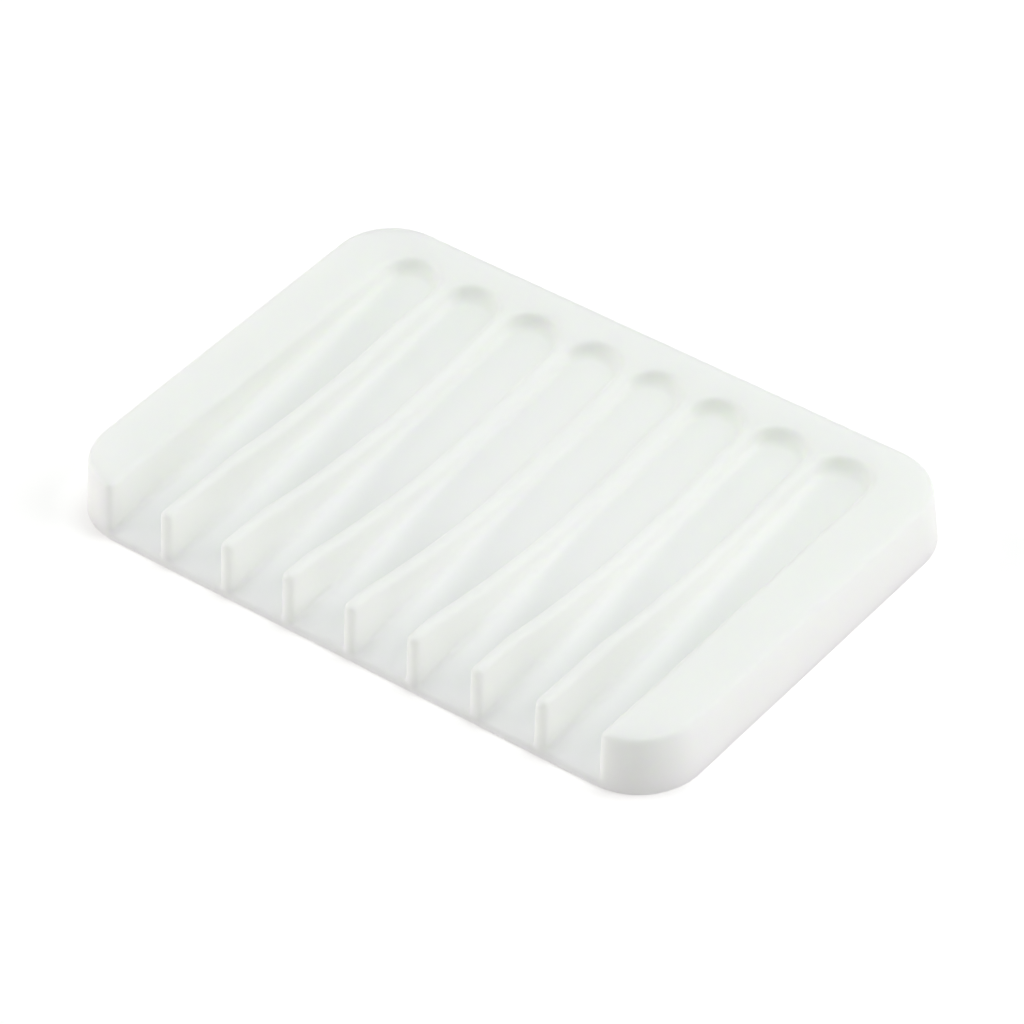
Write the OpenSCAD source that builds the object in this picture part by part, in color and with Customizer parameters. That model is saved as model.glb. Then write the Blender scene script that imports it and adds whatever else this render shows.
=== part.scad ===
// Self-draining soap tray, moulded in one piece from silicone rubber.
// The base stands on Z = 0. +X runs along the length, across the grooves, and the open front
// that the water runs out of faces -Y. Parallel ribs stand between the grooves, and a shallow
// dish is hollowed out of their tops to hold the bar of soap. Sizes are in millimetres.

/* [Tray] */
// Length of the base, across the grooves
tray_l = 115; // [95:1:150]
// Width of the base, from the open front to the back
tray_w = 80; // [66:1:110]
// Height of the rim above the table
tray_h = 10; // [8:0.5:14]
// Radius of the base's corners, seen from above
corner_r = 11; // [4:0.5:16]
// How far each outer side leans in on its way up to the rounded edge
side_lean = 0.8; // [0.3:0.1:2]
// Rounding along the top of the outer sides
edge_r = 1; // [0.3:0.1:1.5]

/* [Drain grooves] */
// Number of grooves
groove_count = 8; // [4:1:9]
// Thickness of the ribs between the grooves
rib_t = 2.4; // [1.6:0.1:4]
// Top width of the side walls, left and right of the grooves
side_w = 10; // [6:0.5:14]
// Top width of the rim behind the grooves
back_w = 6; // [4:0.5:12]
// Thickness of the floor at the open front
lip_t = 1.2; // [0.8:0.1:2.5]
// Depth of the grooves at their rear ends
rear_depth = 2.2; // [1.8:0.1:3.5]
// Radius where the floor of a groove curves up into its sides
floor_r = 1.5; // [0.5:0.1:1.7]

/* [Soap seat] */
// Depth of the dish in the middle of the ribs
seat_depth = 3.4; // [1.5:0.1:4.5]
// Flat stretch of rib top left in front of and behind the dish
seat_margin = 5; // [3:0.5:9]
// Open gap between the ends of the dish and the side walls
seat_gap = 0.4; // [0.2:0.1:1]

/* [Hidden] */

$fn = 96;
seat_fn = 720;  // the dish has a very large radius, so its circles need more steps
over = 2;       // how far a cutter runs past what it cuts

// Outline of the top, inside the leaning sides
top_l = tray_l - 2 * side_lean;
top_w = tray_w - 2 * side_lean;

// Grooves: what the side walls and ribs leave of the length is shared out evenly
field_l = top_l - 2 * side_w;
groove_w = (field_l - (groove_count - 1) * rib_t) / groove_count;
groove_pitch = groove_w + rib_t;
rear_end_y = top_w / 2 - back_w;          // furthest point of the round rear ends
rear_centre_y = rear_end_y - groove_w / 2;
floor_rise = tray_h - rear_depth - lip_t; // from the front lip to the rear ends
floor_run = rear_end_y + tray_w / 2;
slope = atan2(floor_rise, floor_run);

// Dish: part of a ring with one radius along the tray and a smaller one across it
seat_half_l = field_l / 2 - seat_gap;
seat_half_w = top_w / 2 - seat_margin;
seat_r_along = dish_radius(seat_half_l);
seat_r_across = dish_radius(seat_half_w);
seat_sweep = asin((seat_half_l + over) / seat_r_along);

// Radius of the arc that is seat_depth deep over a chord of two half lengths
function dish_radius(half) = (half * half + seat_depth * seat_depth) / (2 * seat_depth);

// One side of the outer wall: from the foot, up the leaning side, round the top edge.
// foot is how far the foot stands out from the profile's own zero line.
module edge_profile(foot) {
    arc_x = foot - side_lean - edge_r;
    arc_z = tray_h - edge_r;
    translate([arc_x, arc_z]) circle(edge_r);
    polygon([[0, 0], [foot, 0], [foot - side_lean, arc_z], [arc_x, arc_z], [arc_x, tray_h], [0, tray_h]]);
}

module edge_bar(length, foot) {
    translate([0, length / 2, 0]) rotate([90, 0, 0])
        linear_extrude(length) {
            edge_profile(foot);
            mirror([1, 0]) edge_profile(foot);
        }
}

// The plain block: two crossing bars with the same edge all round, and four turned corners
module blank() {
    corner_x = tray_l / 2 - corner_r;
    corner_y = tray_w / 2 - corner_r;
    edge_bar(2 * corner_y, tray_l / 2);
    rotate([0, 0, 90]) edge_bar(2 * corner_x, tray_w / 2);
    for (sx = [-1, 1], sy = [-1, 1])
        translate([sx * corner_x, sy * corner_y, 0])
            rotate([0, 0, sx > 0 ? (sy > 0 ? 0 : 270) : (sy > 0 ? 90 : 180)])
                rotate_extrude(angle = 90) edge_profile(corner_r);
}

// Half of a groove's cross-section, with the curve between floor and side
module groove_half() {
    half = groove_w / 2;
    translate([0, floor_r]) square([half, tray_h + over]);
    square([half - floor_r, floor_r + over]);
    translate([half - floor_r, floor_r]) intersection() {
        circle(floor_r);
        translate([0, -floor_r]) square(floor_r);
    }
}

// Cutter for one groove: a sloping trough that runs out through the front, with a round rear end
module groove_cutter() {
    run = (rear_centre_y + tray_w / 2 + over) / cos(slope);
    centre_z = tray_h - rear_depth - (rear_end_y - rear_centre_y) * tan(slope);
    translate([0, rear_centre_y, centre_z]) rotate([slope, 0, 0]) {
        rotate([90, 0, 0]) linear_extrude(run) {
            groove_half();
            mirror([1, 0]) groove_half();
        }
        rotate_extrude(angle = 180) groove_half();
    }
}

// Cutter for the dish: a slice of the ring, lying on the middle of the tray
module seat_cutter() {
    translate([0, 0, tray_h - seat_depth + seat_r_along])
        rotate([90, 0, 0]) rotate([0, 0, 270 - seat_sweep])
            rotate_extrude(angle = 2 * seat_sweep, $fn = seat_fn)
                intersection() {
                    translate([seat_r_along - seat_r_across, 0]) circle(seat_r_across);
                    translate([seat_r_along - seat_depth - over, -seat_half_w - over])
                        square([seat_depth + 2 * over, 2 * (seat_half_w + over)]);
                }
}

module soap_tray() {
    color([0.93, 0.94, 0.92]) difference() {
        blank();
        for (i = [0 : groove_count - 1])
            translate([(i - (groove_count - 1) / 2) * groove_pitch, 0, 0]) groove_cutter();
        seat_cutter();
    }
}

soap_tray();
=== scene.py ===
import math

import bmesh
import bpy
from mathutils import Matrix, Vector


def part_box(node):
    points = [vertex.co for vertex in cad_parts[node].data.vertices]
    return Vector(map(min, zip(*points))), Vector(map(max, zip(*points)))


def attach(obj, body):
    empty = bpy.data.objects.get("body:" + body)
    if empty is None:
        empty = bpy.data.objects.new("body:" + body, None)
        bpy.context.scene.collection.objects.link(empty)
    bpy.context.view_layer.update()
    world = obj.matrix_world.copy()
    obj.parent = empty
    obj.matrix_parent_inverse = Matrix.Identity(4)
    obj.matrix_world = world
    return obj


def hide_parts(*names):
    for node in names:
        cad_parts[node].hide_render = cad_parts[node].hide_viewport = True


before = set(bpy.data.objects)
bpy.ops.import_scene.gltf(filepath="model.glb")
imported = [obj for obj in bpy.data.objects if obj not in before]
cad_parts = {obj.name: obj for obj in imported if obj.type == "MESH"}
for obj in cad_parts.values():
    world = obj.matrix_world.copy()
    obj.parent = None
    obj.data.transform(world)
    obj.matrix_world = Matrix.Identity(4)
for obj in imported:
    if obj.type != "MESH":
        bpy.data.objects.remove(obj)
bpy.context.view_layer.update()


# ---------------------------------------------------------------------------------------------
# The tray: one compression-moulded piece of white silicone rubber. It leaves the mould with
# every edge slightly rounded and with a soft curve where the floor of a groove meets its sides.
# It is laid loose on a counter, so nothing holds it.

MM = 0.001

half_l, half_w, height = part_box("soap_tray")[1]

CORNER_R = 11 * MM          # corners of the base, seen from above
SIDE_LEAN = 0.8 * MM        # how far the sides lean in on their way up
EDGE_R = 1.0 * MM           # rounding of the outer top edge and of the ribs' front ends
FOOT_R = 0.15 * MM          # rounding of the bottom edge
GROOVES = 8
RIB = 2.4 * MM              # thickness of a rib
SIDE_WALL = 10 * MM         # top width of the walls left and right of the grooves
BACK_RIM = 6 * MM           # top width behind the grooves
LIP = 1.2 * MM              # thickness of the floor at the open front
REAR_DEPTH = 2.2 * MM       # depth of a groove at its rear end
RIB_EDGE_R = 1.1 * MM       # rounding along the top of a rib
FLOOR_R = 1.5 * MM          # curve between floor and side
REAR_FLOOR_R = 2.4 * MM     # the same curve at the rear ends, where it is wider
FRONT_FLOOR_R = 0.5 * MM    # the same curve at the open front, where it tapers off
FLOOR_TAPER = 15 * MM       # length of that taper
LIP_R = 0.5 * MM            # rounding of the front edge of the floors
SEAT_DEPTH = 3.4 * MM       # dish in the rib tops, where the soap lies
SEAT_MARGIN = 5 * MM        # flat rib top in front of and behind the dish
SEAT_GAP = 0.4 * MM         # between the ends of the dish and the side walls
SEAT_SOFT = 0.1 * MM        # how gently the dish runs out into the flat tops
WALL_REACH = 3 * MM         # strip of side wall that belongs to the outer grooves' sheets
FOOT_RING = 1.5 * MM        # narrow ring of faces round the flat underside
WELD = 0.01 * MM            # points nearer than this are one point

EDGE_STEPS = 3              # over a rounded outer edge
FRONT_ROWS = 8              # along a groove, as far as the base's corners reach
ROWS = 46                   # along the whole straight part of a groove
ARC_STEPS = 24              # round its rear end
TOP_STEPS = 2               # from the middle of a rib's top to its edge
WALL_STEPS = 10             # over that edge, down the side and into the floor
LIP_BLEND = 0.6             # share of those steps after which the front's rounding shrinks
WALL_SHARE = 0.3            # share of those steps on the straight wall where it is high
HIGH_WALL = 2.5 * MM        # where it counts as high
EDGE_SHARE = 3 / 7          # share of the other steps that goes over the edge
FLOOR_STEPS = 2             # on to the middle of the floor
RIM_STEPS = 5               # across the flat rim
RIM_TURN = 0.3 * math.pi    # how far round a front corner the side rim's front end reaches
REAR_TURN_STEPS = 4         # of the rear rim round each rear corner
LIP_STEPS = 2               # down the front lip
FOOT_STEPS = 2              # over the bottom edge

top_half_l, top_half_w = half_l - SIDE_LEAN, half_w - SIDE_LEAN
field_half = top_half_l - SIDE_WALL
groove_half = (2 * field_half - (GROOVES - 1) * RIB) / GROOVES / 2
pitch = 2 * groove_half + RIB
rear_end = top_half_w - BACK_RIM
arc_y = rear_end - groove_half
slope = (height - REAR_DEPTH - LIP) / (rear_end + half_w)
corner_x, corner_y = half_l - CORNER_R, half_w - CORNER_R
rim_inset = SIDE_LEAN + EDGE_R
rim_r = CORNER_R - rim_inset
side_top = height - EDGE_R

front_ys = [-half_w + rim_inset + (half_w - rim_inset - corner_y) * j / FRONT_ROWS
            for j in range(FRONT_ROWS)]
row_ys = front_ys + [-corner_y + (arc_y + corner_y) * j / (ROWS - FRONT_ROWS)
                     for j in range(ROWS - FRONT_ROWS + 1)]
arc_step = math.pi / ARC_STEPS
half_path = EDGE_STEPS + ROWS + ARC_STEPS // 2
front_y = -half_w + EDGE_R


def top_z(x, y):
    """Height of the rim and the rib tops, with the soap's dish, which runs out gently."""
    along, across = x / (field_half - SEAT_GAP), y / (top_half_w - SEAT_MARGIN)
    d = SEAT_DEPTH * (1 - along ** 2 - across ** 2)
    if d <= -SEAT_SOFT:
        return height
    return height - (d if d >= SEAT_SOFT else (d + SEAT_SOFT) ** 2 / (4 * SEAT_SOFT))


def floor_z(y):
    return LIP + (y + half_w) * slope


def side_inset(z):
    """How far the leaning side has come in at height z."""
    return SIDE_LEAN * min(max(z / side_top, 0), 1)


def moved(co, inset, z):
    """The point beside co on the outline that lies the given inset from the foot, at height z."""
    core = Vector((min(max(co.x, -corner_x), corner_x), min(max(co.y, -corner_y), corner_y)))
    out = (co.xy - core).normalized()
    at = core + (CORNER_R - inset) * out
    return Vector((at.x, at.y, z))


def rim_point(x_sign, y_sign, turn):
    """Edge of the flat rim at a corner; turn runs from the long side's end to the short side."""
    return Vector((x_sign * (corner_x + rim_r * math.sin(turn)),
                   y_sign * (corner_y + rim_r * math.cos(turn)), height))


def front_point(x, z, edge=0.0, turn=math.pi / 2):
    """A point of the front, turn radians over its rounded edge. x is measured at the rim."""
    beyond = min(max(abs(x) - corner_x, 0) / rim_r, 1)
    rim = Vector((x, -corner_y - rim_r * math.sqrt(1 - beyond ** 2), z))
    return moved(rim, side_inset(z) + edge * (1 - math.sin(turn)), z)


def wall_curve(step, top, floor, edge_r, foot_r, side):
    """One step down the side of a groove: distance from the groove's middle, and height.

    An arc goes over the edge, a straight wall follows where there is room for one, and an arc
    runs into the floor. Where the rib is low the two arcs meet and there is no wall. A high wall
    gets WALL_SHARE of the steps, and the arc over the edge EDGE_SHARE of what is left.
    """
    spare = top - floor - edge_r - foot_r
    reach = edge_r + foot_r
    wall = max(spare, 0)
    if spare >= 0:
        turn, edge_x = math.pi / 2, side + edge_r
    else:
        turn = math.acos(min(-spare / reach, 1))
        edge_x = side - foot_r + math.sqrt(reach ** 2 - spare ** 2)
    wall_share = WALL_SHARE * min(wall / HIGH_WALL, 1)
    edge_end = (1 - wall_share) * EDGE_SHARE
    wall_end = edge_end + wall_share
    t = step / WALL_STEPS
    if t <= edge_end:
        a = turn * t / edge_end
        return edge_x - edge_r * math.sin(a), top - edge_r + edge_r * math.cos(a)
    if t < wall_end:
        return side, top - edge_r - wall * (t - edge_end) / wall_share
    a = turn * (1 - t) / (1 - wall_end)
    return side - foot_r + foot_r * math.sin(a), floor + foot_r - foot_r * math.cos(a)


def section(groove, sign, column, y, angle=0.0, turn=0.0):
    """A point of one side of a groove, with its rounding radius where it meets the front.

    Columns run from the middle of the rib over its edge, down its side and to the middle of the
    floor. angle goes round the rear end. turn goes over the front edge, where the whole section
    shrinks into the rubber. That edge's radius goes smoothly from EDGE_R to LIP_R on the way down.
    """
    middle = (groove - (GROOVES - 1) / 2) * pitch
    is_rib = 0 < groove + (sign + 1) // 2 < GROOVES
    reach = pitch / 2 if is_rib else groove_half + WALL_REACH
    shrink = 1 - math.cos(turn)
    along = Vector((sign * math.cos(angle), math.sin(angle)))
    foot = Vector((middle, y))
    wall = foot + along * groove_half
    top, floor = top_z(wall.x, wall.y) - EDGE_R * shrink, floor_z(wall.y) - LIP_R * shrink
    step = min(max(column - TOP_STEPS, 0), WALL_STEPS)
    low = max(step / WALL_STEPS - LIP_BLEND, 0) / (1 - LIP_BLEND)
    edge = EDGE_R + (LIP_R - EDGE_R) * low ** 2 * (3 - 2 * low)
    foot_r = FRONT_FLOOR_R + (FLOOR_R - FRONT_FLOOR_R) * min((y + half_w) / FLOOR_TAPER, 1)
    foot_r += (REAR_FLOOR_R - FLOOR_R) * math.sin(angle) ** 2
    away, z = wall_curve(step, top, floor, RIB_EDGE_R - EDGE_R * shrink, foot_r,
                         groove_half + EDGE_R * shrink)
    if column > TOP_STEPS + WALL_STEPS:
        away *= 1 - (column - TOP_STEPS - WALL_STEPS) / FLOOR_STEPS
    at = foot + along * away
    if column < TOP_STEPS:
        if angle <= math.pi / 4:
            outer = foot + Vector((sign * reach, pitch / 2 * math.tan(angle)))
        else:
            outer = foot + Vector((sign * reach / math.tan(angle), pitch / 2))
        at = outer.lerp(at, column / TOP_STEPS)
        return Vector((at.x, at.y, top_z(at.x, at.y) - EDGE_R * shrink)), edge
    depth = min(max((top - z) / (top - floor), 0), 1)
    z += (1 - depth) * (top_z(at.x, at.y) - top_z(wall.x, wall.y))
    z += depth * (floor_z(at.y) - floor_z(wall.y))
    return Vector((at.x, at.y, z)), edge


def groove_point(groove, column, row):
    """Rows go from the front along the right side, round the rear end and back on the left."""
    sign = 1 if row <= half_path else -1
    n = row if sign > 0 else 2 * half_path - row
    if n <= EDGE_STEPS:
        turn = math.pi / 2 * (1 - n / EDGE_STEPS)
        at, edge = section(groove, sign, column, front_y, turn=turn)
        return front_point(at.x, at.z, edge, turn)
    row_n = n - EDGE_STEPS
    y = row_ys[min(row_n, ROWS)]
    return section(groove, sign, column, y, angle=max(row_n - ROWS, 0) * arc_step)[0]


def front_section(groove, sign, step):
    """The same section where it has gone right over the front edge, step by step down the side."""
    return section(groove, sign, TOP_STEPS + step, front_y, turn=math.pi / 2)[0]


def sheet(bm, columns, rows, place):
    """A sheet of quads with every corner moved to where place(column, row) says."""
    for v in bmesh.ops.create_grid(bm, x_segments=columns, y_segments=rows, size=0.5)["verts"]:
        v.co = place(round((v.co.x + 0.5) * columns), round((v.co.y + 0.5) * rows))


def pull_out(bm, edges, place):
    """Extrude edges once and move the new ones to where place(old position) says."""
    grown = bmesh.ops.extrude_edge_only(bm, edges=edges)["geom"]
    for v in grown:
        if isinstance(v, bmesh.types.BMVert):
            v.co = place(v.co)
    return [e for e in grown if isinstance(e, bmesh.types.BMEdge)]


def open_edges(bm):
    return [e for e in bm.edges if e.is_boundary]


tray = bmesh.new()

# The eight grooves, each with its half of the ribs beside it
for groove in range(GROOVES):
    sheet(tray, TOP_STEPS + WALL_STEPS + FLOOR_STEPS, 2 * half_path,
          lambda c, r, g=groove: groove_point(g, c, r))

# The flat rim left and right of them, from the front corner to the middle of the rear corner
rim_x = field_half + WALL_REACH
first_turn = math.asin((rim_x - corner_x) / rim_r)
side_rows = ROWS + ARC_STEPS // 4


def side_rim_point(sign, column, row):
    across = column / RIM_STEPS
    on_arc = rim_point(sign, -1, first_turn + (RIM_TURN - first_turn) * across)
    if row == 0:
        return on_arc
    if row <= ROWS:
        inner = Vector((sign * rim_x, row_ys[row], height))
    else:
        inner_y = arc_y + pitch / 2 * math.tan((row - ROWS) * arc_step)
        inner = Vector((sign * rim_x, inner_y, height))
    if row <= FRONT_ROWS:
        outer = rim_point(sign, -1, RIM_TURN + (math.pi / 2 - RIM_TURN) * row / FRONT_ROWS)
    elif row <= ROWS:
        stretch = 2 * corner_y / (arc_y + corner_y)
        outer = Vector((sign * (corner_x + rim_r), -corner_y + (row_ys[row] + corner_y) * stretch,
                        height))
    else:
        outer = rim_point(sign, 1, math.pi / 2 - (row - ROWS) * arc_step)
    at = inner.lerp(outer, across)
    if row < FRONT_ROWS:
        chord = rim_point(sign, -1, first_turn).lerp(rim_point(sign, -1, RIM_TURN), across)
        at += (on_arc - chord) * (1 - row / FRONT_ROWS) ** 2
    return at


for sign in (-1, 1):
    sheet(tray, RIM_STEPS, side_rows, lambda c, r, s=sign: side_rim_point(s, c, r))

# The flat rim behind them, from one rear corner to the other
rear_rows = GROOVES * ARC_STEPS // 2


def rear_inner(row):
    groove = min(row // (ARC_STEPS // 2), GROOVES - 1)
    k = ARC_STEPS // 4 + row - groove * (ARC_STEPS // 2)
    sign = 1 if k > ARC_STEPS // 2 else -1
    n = half_path - abs(k - ARC_STEPS // 2)
    return groove_point(groove, 0, n if sign > 0 else 2 * half_path - n)


def rear_rim_point(column, row):
    inner = rear_inner(row)
    from_end = min(row, rear_rows - row)
    sign = -1 if row < rear_rows / 2 else 1
    if from_end <= REAR_TURN_STEPS:
        outer = rim_point(sign, 1, math.pi / 4 * (1 - from_end / REAR_TURN_STEPS))
    else:
        stretch = corner_x / abs(rear_inner(REAR_TURN_STEPS).x)
        outer = Vector((inner.x * stretch, corner_y + rim_r, height))
    at = inner.lerp(outer, column / RIM_STEPS)
    at.z = top_z(at.x, at.y)
    return at


sheet(tray, RIM_STEPS, rear_rows, rear_rim_point)
bmesh.ops.remove_doubles(tray, verts=tray.verts, dist=WELD)

# The outer side: over the rounded rim and down to the level of the front lip
lip_z = front_section(0, 1, WALL_STEPS).z
rim_edges = [e for e in open_edges(tray)
             if all((moved(v.co, rim_inset, height) - v.co).length < WELD for v in e.verts)]
for k in range(1, EDGE_STEPS + 1):
    turn = math.pi / 2 * k / EDGE_STEPS
    rim_edges = pull_out(tray, rim_edges, lambda co: moved(
        co, rim_inset - EDGE_R * math.sin(turn), side_top + EDGE_R * math.cos(turn)))


def side_level(step):
    return side_top + (lip_z - side_top) * step / WALL_STEPS


for k in range(1, WALL_STEPS + 1):
    z = side_level(k)
    rim_edges = pull_out(tray, rim_edges, lambda co: moved(co, side_inset(z), z))

# The front ends of the ribs and of the two side walls
for rib in range(GROOVES - 1):
    def rib_end_point(column, row, rib=rib):
        left, right = front_section(rib, 1, row), front_section(rib + 1, -1, row)
        at = left.lerp(right, column / (2 * TOP_STEPS))
        return front_point(at.x, at.z)
    sheet(tray, 2 * TOP_STEPS, WALL_STEPS, rib_end_point)

for groove, sign in ((0, -1), (GROOVES - 1, 1)):
    def wall_end_point(column, row, groove=groove, sign=sign):
        outer = Vector((sign * rim_x, 0, side_level(row)))
        at = front_section(groove, sign, row).lerp(outer, column / TOP_STEPS)
        return front_point(at.x, at.z)
    sheet(tray, TOP_STEPS, WALL_STEPS, wall_end_point)

bmesh.ops.remove_doubles(tray, verts=tray.verts, dist=WELD)

# The lowest part of the sides and of the lip, the bottom edge and the flat underside
levels = [(side_inset(z), z) for z in
          (lip_z + (FOOT_R - lip_z) * k / LIP_STEPS for k in range(1, LIP_STEPS + 1))]
levels += [(side_inset(FOOT_R) + FOOT_R * (1 - math.cos(a)), FOOT_R * (1 - math.sin(a)))
           for a in (math.pi / 2 * k / FOOT_STEPS for k in range(1, FOOT_STEPS + 1))]
levels.append((FOOT_RING, 0))
foot_edges = open_edges(tray)
for inset, z in levels:
    foot_edges = pull_out(tray, foot_edges, lambda co: moved(co, inset, z))
bmesh.ops.contextual_create(tray, geom=foot_edges)

bmesh.ops.recalc_face_normals(tray, faces=tray.faces)
tray_mesh = bpy.data.meshes.new("soap_tray_moulding")
tray.to_mesh(tray_mesh)
tray.free()
tray_mesh.shade_smooth()
moulding = bpy.data.objects.new("soap_tray_moulding", tray_mesh)
bpy.context.scene.collection.objects.link(moulding)
smooth = moulding.modifiers.new("smooth", "SUBSURF")
smooth.levels = smooth.render_levels = 1
smooth.use_limit_surface = False

# White silicone: milky rather than opaque, so light soaks a little way in and softens every
# shadow. The mould gives it a satin grain, the pigment is mixed in slightly unevenly, and the
# gloss varies a little from patch to patch.
PIGMENT_THIN, PIGMENT_RICH = (0.963, 0.98, 0.953, 1), (0.972, 0.986, 0.962, 1)
LIGHT_DEPTH = 6 * MM        # how far light soaks in, before it is shared out over the colours
LIGHT_SHARES = (1.0, 1.1, 0.9)
GLOSSIEST, DULLEST = 0.42, 0.56
PIGMENT_PATCHES = 45        # per metre, as are the next two
GLOSS_PATCHES = 160
GRAINS = 5200
GRAIN_HEIGHT = 0.02 * MM

silicone = bpy.data.materials.new("white_silicone")
silicone.use_nodes = True
nodes, links = silicone.node_tree.nodes, silicone.node_tree.links
shader = nodes["Principled BSDF"]
shader.inputs["Subsurface Weight"].default_value = 1.0
shader.inputs["Subsurface Radius"].default_value = LIGHT_SHARES
shader.inputs["Subsurface Scale"].default_value = LIGHT_DEPTH
shader.inputs["IOR"].default_value = 1.41

place = nodes.new("ShaderNodeTexCoord")


def noise(patches, detail):
    """Noise over the rubber, with so many patches per metre."""
    node = nodes.new("ShaderNodeTexNoise")
    node.inputs["Scale"].default_value = patches
    node.inputs["Detail"].default_value = detail
    node.inputs["Roughness"].default_value = 0.5
    links.new(place.outputs["Object"], node.inputs["Vector"])
    return node.outputs["Fac"]


def spread(value, low, high, to_low, to_high):
    """value, taken from low..high to to_low..to_high and held there."""
    node = nodes.new("ShaderNodeMapRange")
    for name, v in (("From Min", low), ("From Max", high), ("To Min", to_low), ("To Max", to_high)):
        node.inputs[name].default_value = v
    links.new(value, node.inputs["Value"])
    return node.outputs["Result"]


pigment = nodes.new("ShaderNodeMix")
pigment.data_type = "RGBA"
pigment.inputs["A"].default_value = PIGMENT_THIN
pigment.inputs["B"].default_value = PIGMENT_RICH
links.new(spread(noise(PIGMENT_PATCHES, 3), 0.35, 0.65, 0, 1), pigment.inputs["Factor"])
links.new(pigment.outputs["Result"], shader.inputs["Base Color"])

links.new(spread(noise(GLOSS_PATCHES, 4), 0.3, 0.7, GLOSSIEST, DULLEST),
          shader.inputs["Roughness"])

grain = nodes.new("ShaderNodeBump")
grain.inputs["Strength"].default_value = 0.35
grain.inputs["Distance"].default_value = GRAIN_HEIGHT
links.new(noise(GRAINS, 2), grain.inputs["Height"])
links.new(grain.outputs["Normal"], shader.inputs["Normal"])

tray_mesh.materials.append(silicone)

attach(moulding, "root")
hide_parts("soap_tray")


# ---------------------------------------------------------------------------------------------
# The counter it lies on: a plain matt white one, lifted to paper white by a little light of its
# own. It is not part of the object.

WHITE = (1, 1, 1, 1)
COUNTER_COLOUR = (0.95, 0.92, 0.94, 1)
COUNTER_GLOW = 0.21
COUNTER_HALF = 600 * MM
COUNTER_DROP = 0.05 * MM    # keeps the counter's face clear of the tray's underside

counter_bm = bmesh.new()
bmesh.ops.create_grid(counter_bm, x_segments=1, y_segments=1, size=COUNTER_HALF)
counter_mesh = bpy.data.meshes.new("counter")
counter_bm.to_mesh(counter_mesh)
counter_bm.free()
counter = bpy.data.objects.new("counter", counter_mesh)
bpy.context.scene.collection.objects.link(counter)
counter.location.z = -COUNTER_DROP
paint = bpy.data.materials.new("white_counter")
paint.use_nodes = True
matt = paint.node_tree.nodes["Principled BSDF"].inputs
matt["Base Color"].default_value = COUNTER_COLOUR
matt["Roughness"].default_value = 0.9
matt["Emission Color"].default_value = WHITE
matt["Emission Strength"].default_value = COUNTER_GLOW
counter_mesh.materials.append(paint)


# ---------------------------------------------------------------------------------------------
# The light: three large round softboxes, and a room that is dim for the tray but pale where the
# camera sees past the counter.

LAMP_DISTANCE = 1200 * MM
ROOM_LIGHT, ROOM_SEEN = 0.05, 0.95


def away_from_tray(azimuth, elevation):
    """Direction from the tray, in degrees round it from its front and up from the counter."""
    az, el = math.radians(azimuth), math.radians(elevation)
    return Vector((math.sin(az) * math.cos(el), -math.cos(az) * math.cos(el), math.sin(el)))


def softbox(name, azimuth, elevation, size, watts, colour):
    """A round lamp of the given width that points at the tray."""
    data = bpy.data.lights.new(name, "AREA")
    data.shape = "DISK"
    data.size = size
    data.energy = watts
    data.color = colour
    lamp = bpy.data.objects.new(name, data)
    out = away_from_tray(azimuth, elevation)
    lamp.location = out * LAMP_DISTANCE
    lamp.rotation_euler = out.to_track_quat("Z", "Y").to_euler()
    bpy.context.scene.collection.objects.link(lamp)


softbox("left_softbox", -62, 22, 800 * MM, 6.8, (1, 0.98, 0.94))
softbox("right_softbox", 122, 34, 1000 * MM, 6.95, (1, 0.99, 0.965))
softbox("top_softbox", 180, 80, 900 * MM, 8.05, (0.93, 1, 0.965))

world = bpy.data.worlds.new("room")
bpy.context.scene.world = world
world.use_nodes = True
room = world.node_tree
dim, pale = room.nodes["Background"], room.nodes.new("ShaderNodeBackground")
dim.inputs["Color"].default_value = WHITE
dim.inputs["Strength"].default_value = ROOM_LIGHT
pale.inputs["Color"].default_value = WHITE
pale.inputs["Strength"].default_value = ROOM_SEEN
rays, seen = room.nodes.new("ShaderNodeLightPath"), room.nodes.new("ShaderNodeMixShader")
room.links.new(rays.outputs["Is Camera Ray"], seen.inputs["Fac"])
room.links.new(dim.outputs["Background"], seen.inputs[1])
room.links.new(pale.outputs["Background"], seen.inputs[2])
room.links.new(seen.outputs["Shader"], room.nodes["World Output"].inputs["Surface"])
bpy.context.scene.view_settings.view_transform = "Standard"


# ---------------------------------------------------------------------------------------------
# The camera: a long lens that looks down on the tray past its front right corner, very slightly
# rolled.

CAMERA_AZIMUTH, CAMERA_ELEVATION = 38.905, 40.546
CAMERA_ROLL = math.radians(-1.865)
AIM = Vector((-0.21, 0.74, 0.83)) * MM
CAMERA_DISTANCE = 892.4 * MM

back = away_from_tray(CAMERA_AZIMUTH, CAMERA_ELEVATION)
level = Vector((0, 0, 1)).cross(back).normalized()
right = level * math.cos(CAMERA_ROLL) + back.cross(level) * math.sin(CAMERA_ROLL)
camera_data = bpy.data.cameras.new("camera")
camera_data.lens = 203.8
camera_data.sensor_width = 36
camera = bpy.data.objects.new("camera", camera_data)
camera.matrix_world = (Matrix.Translation(AIM + back * CAMERA_DISTANCE)
                       @ Matrix((right, back.cross(right), back)).transposed().to_4x4())
bpy.context.scene.collection.objects.link(camera)
bpy.context.scene.camera = camera
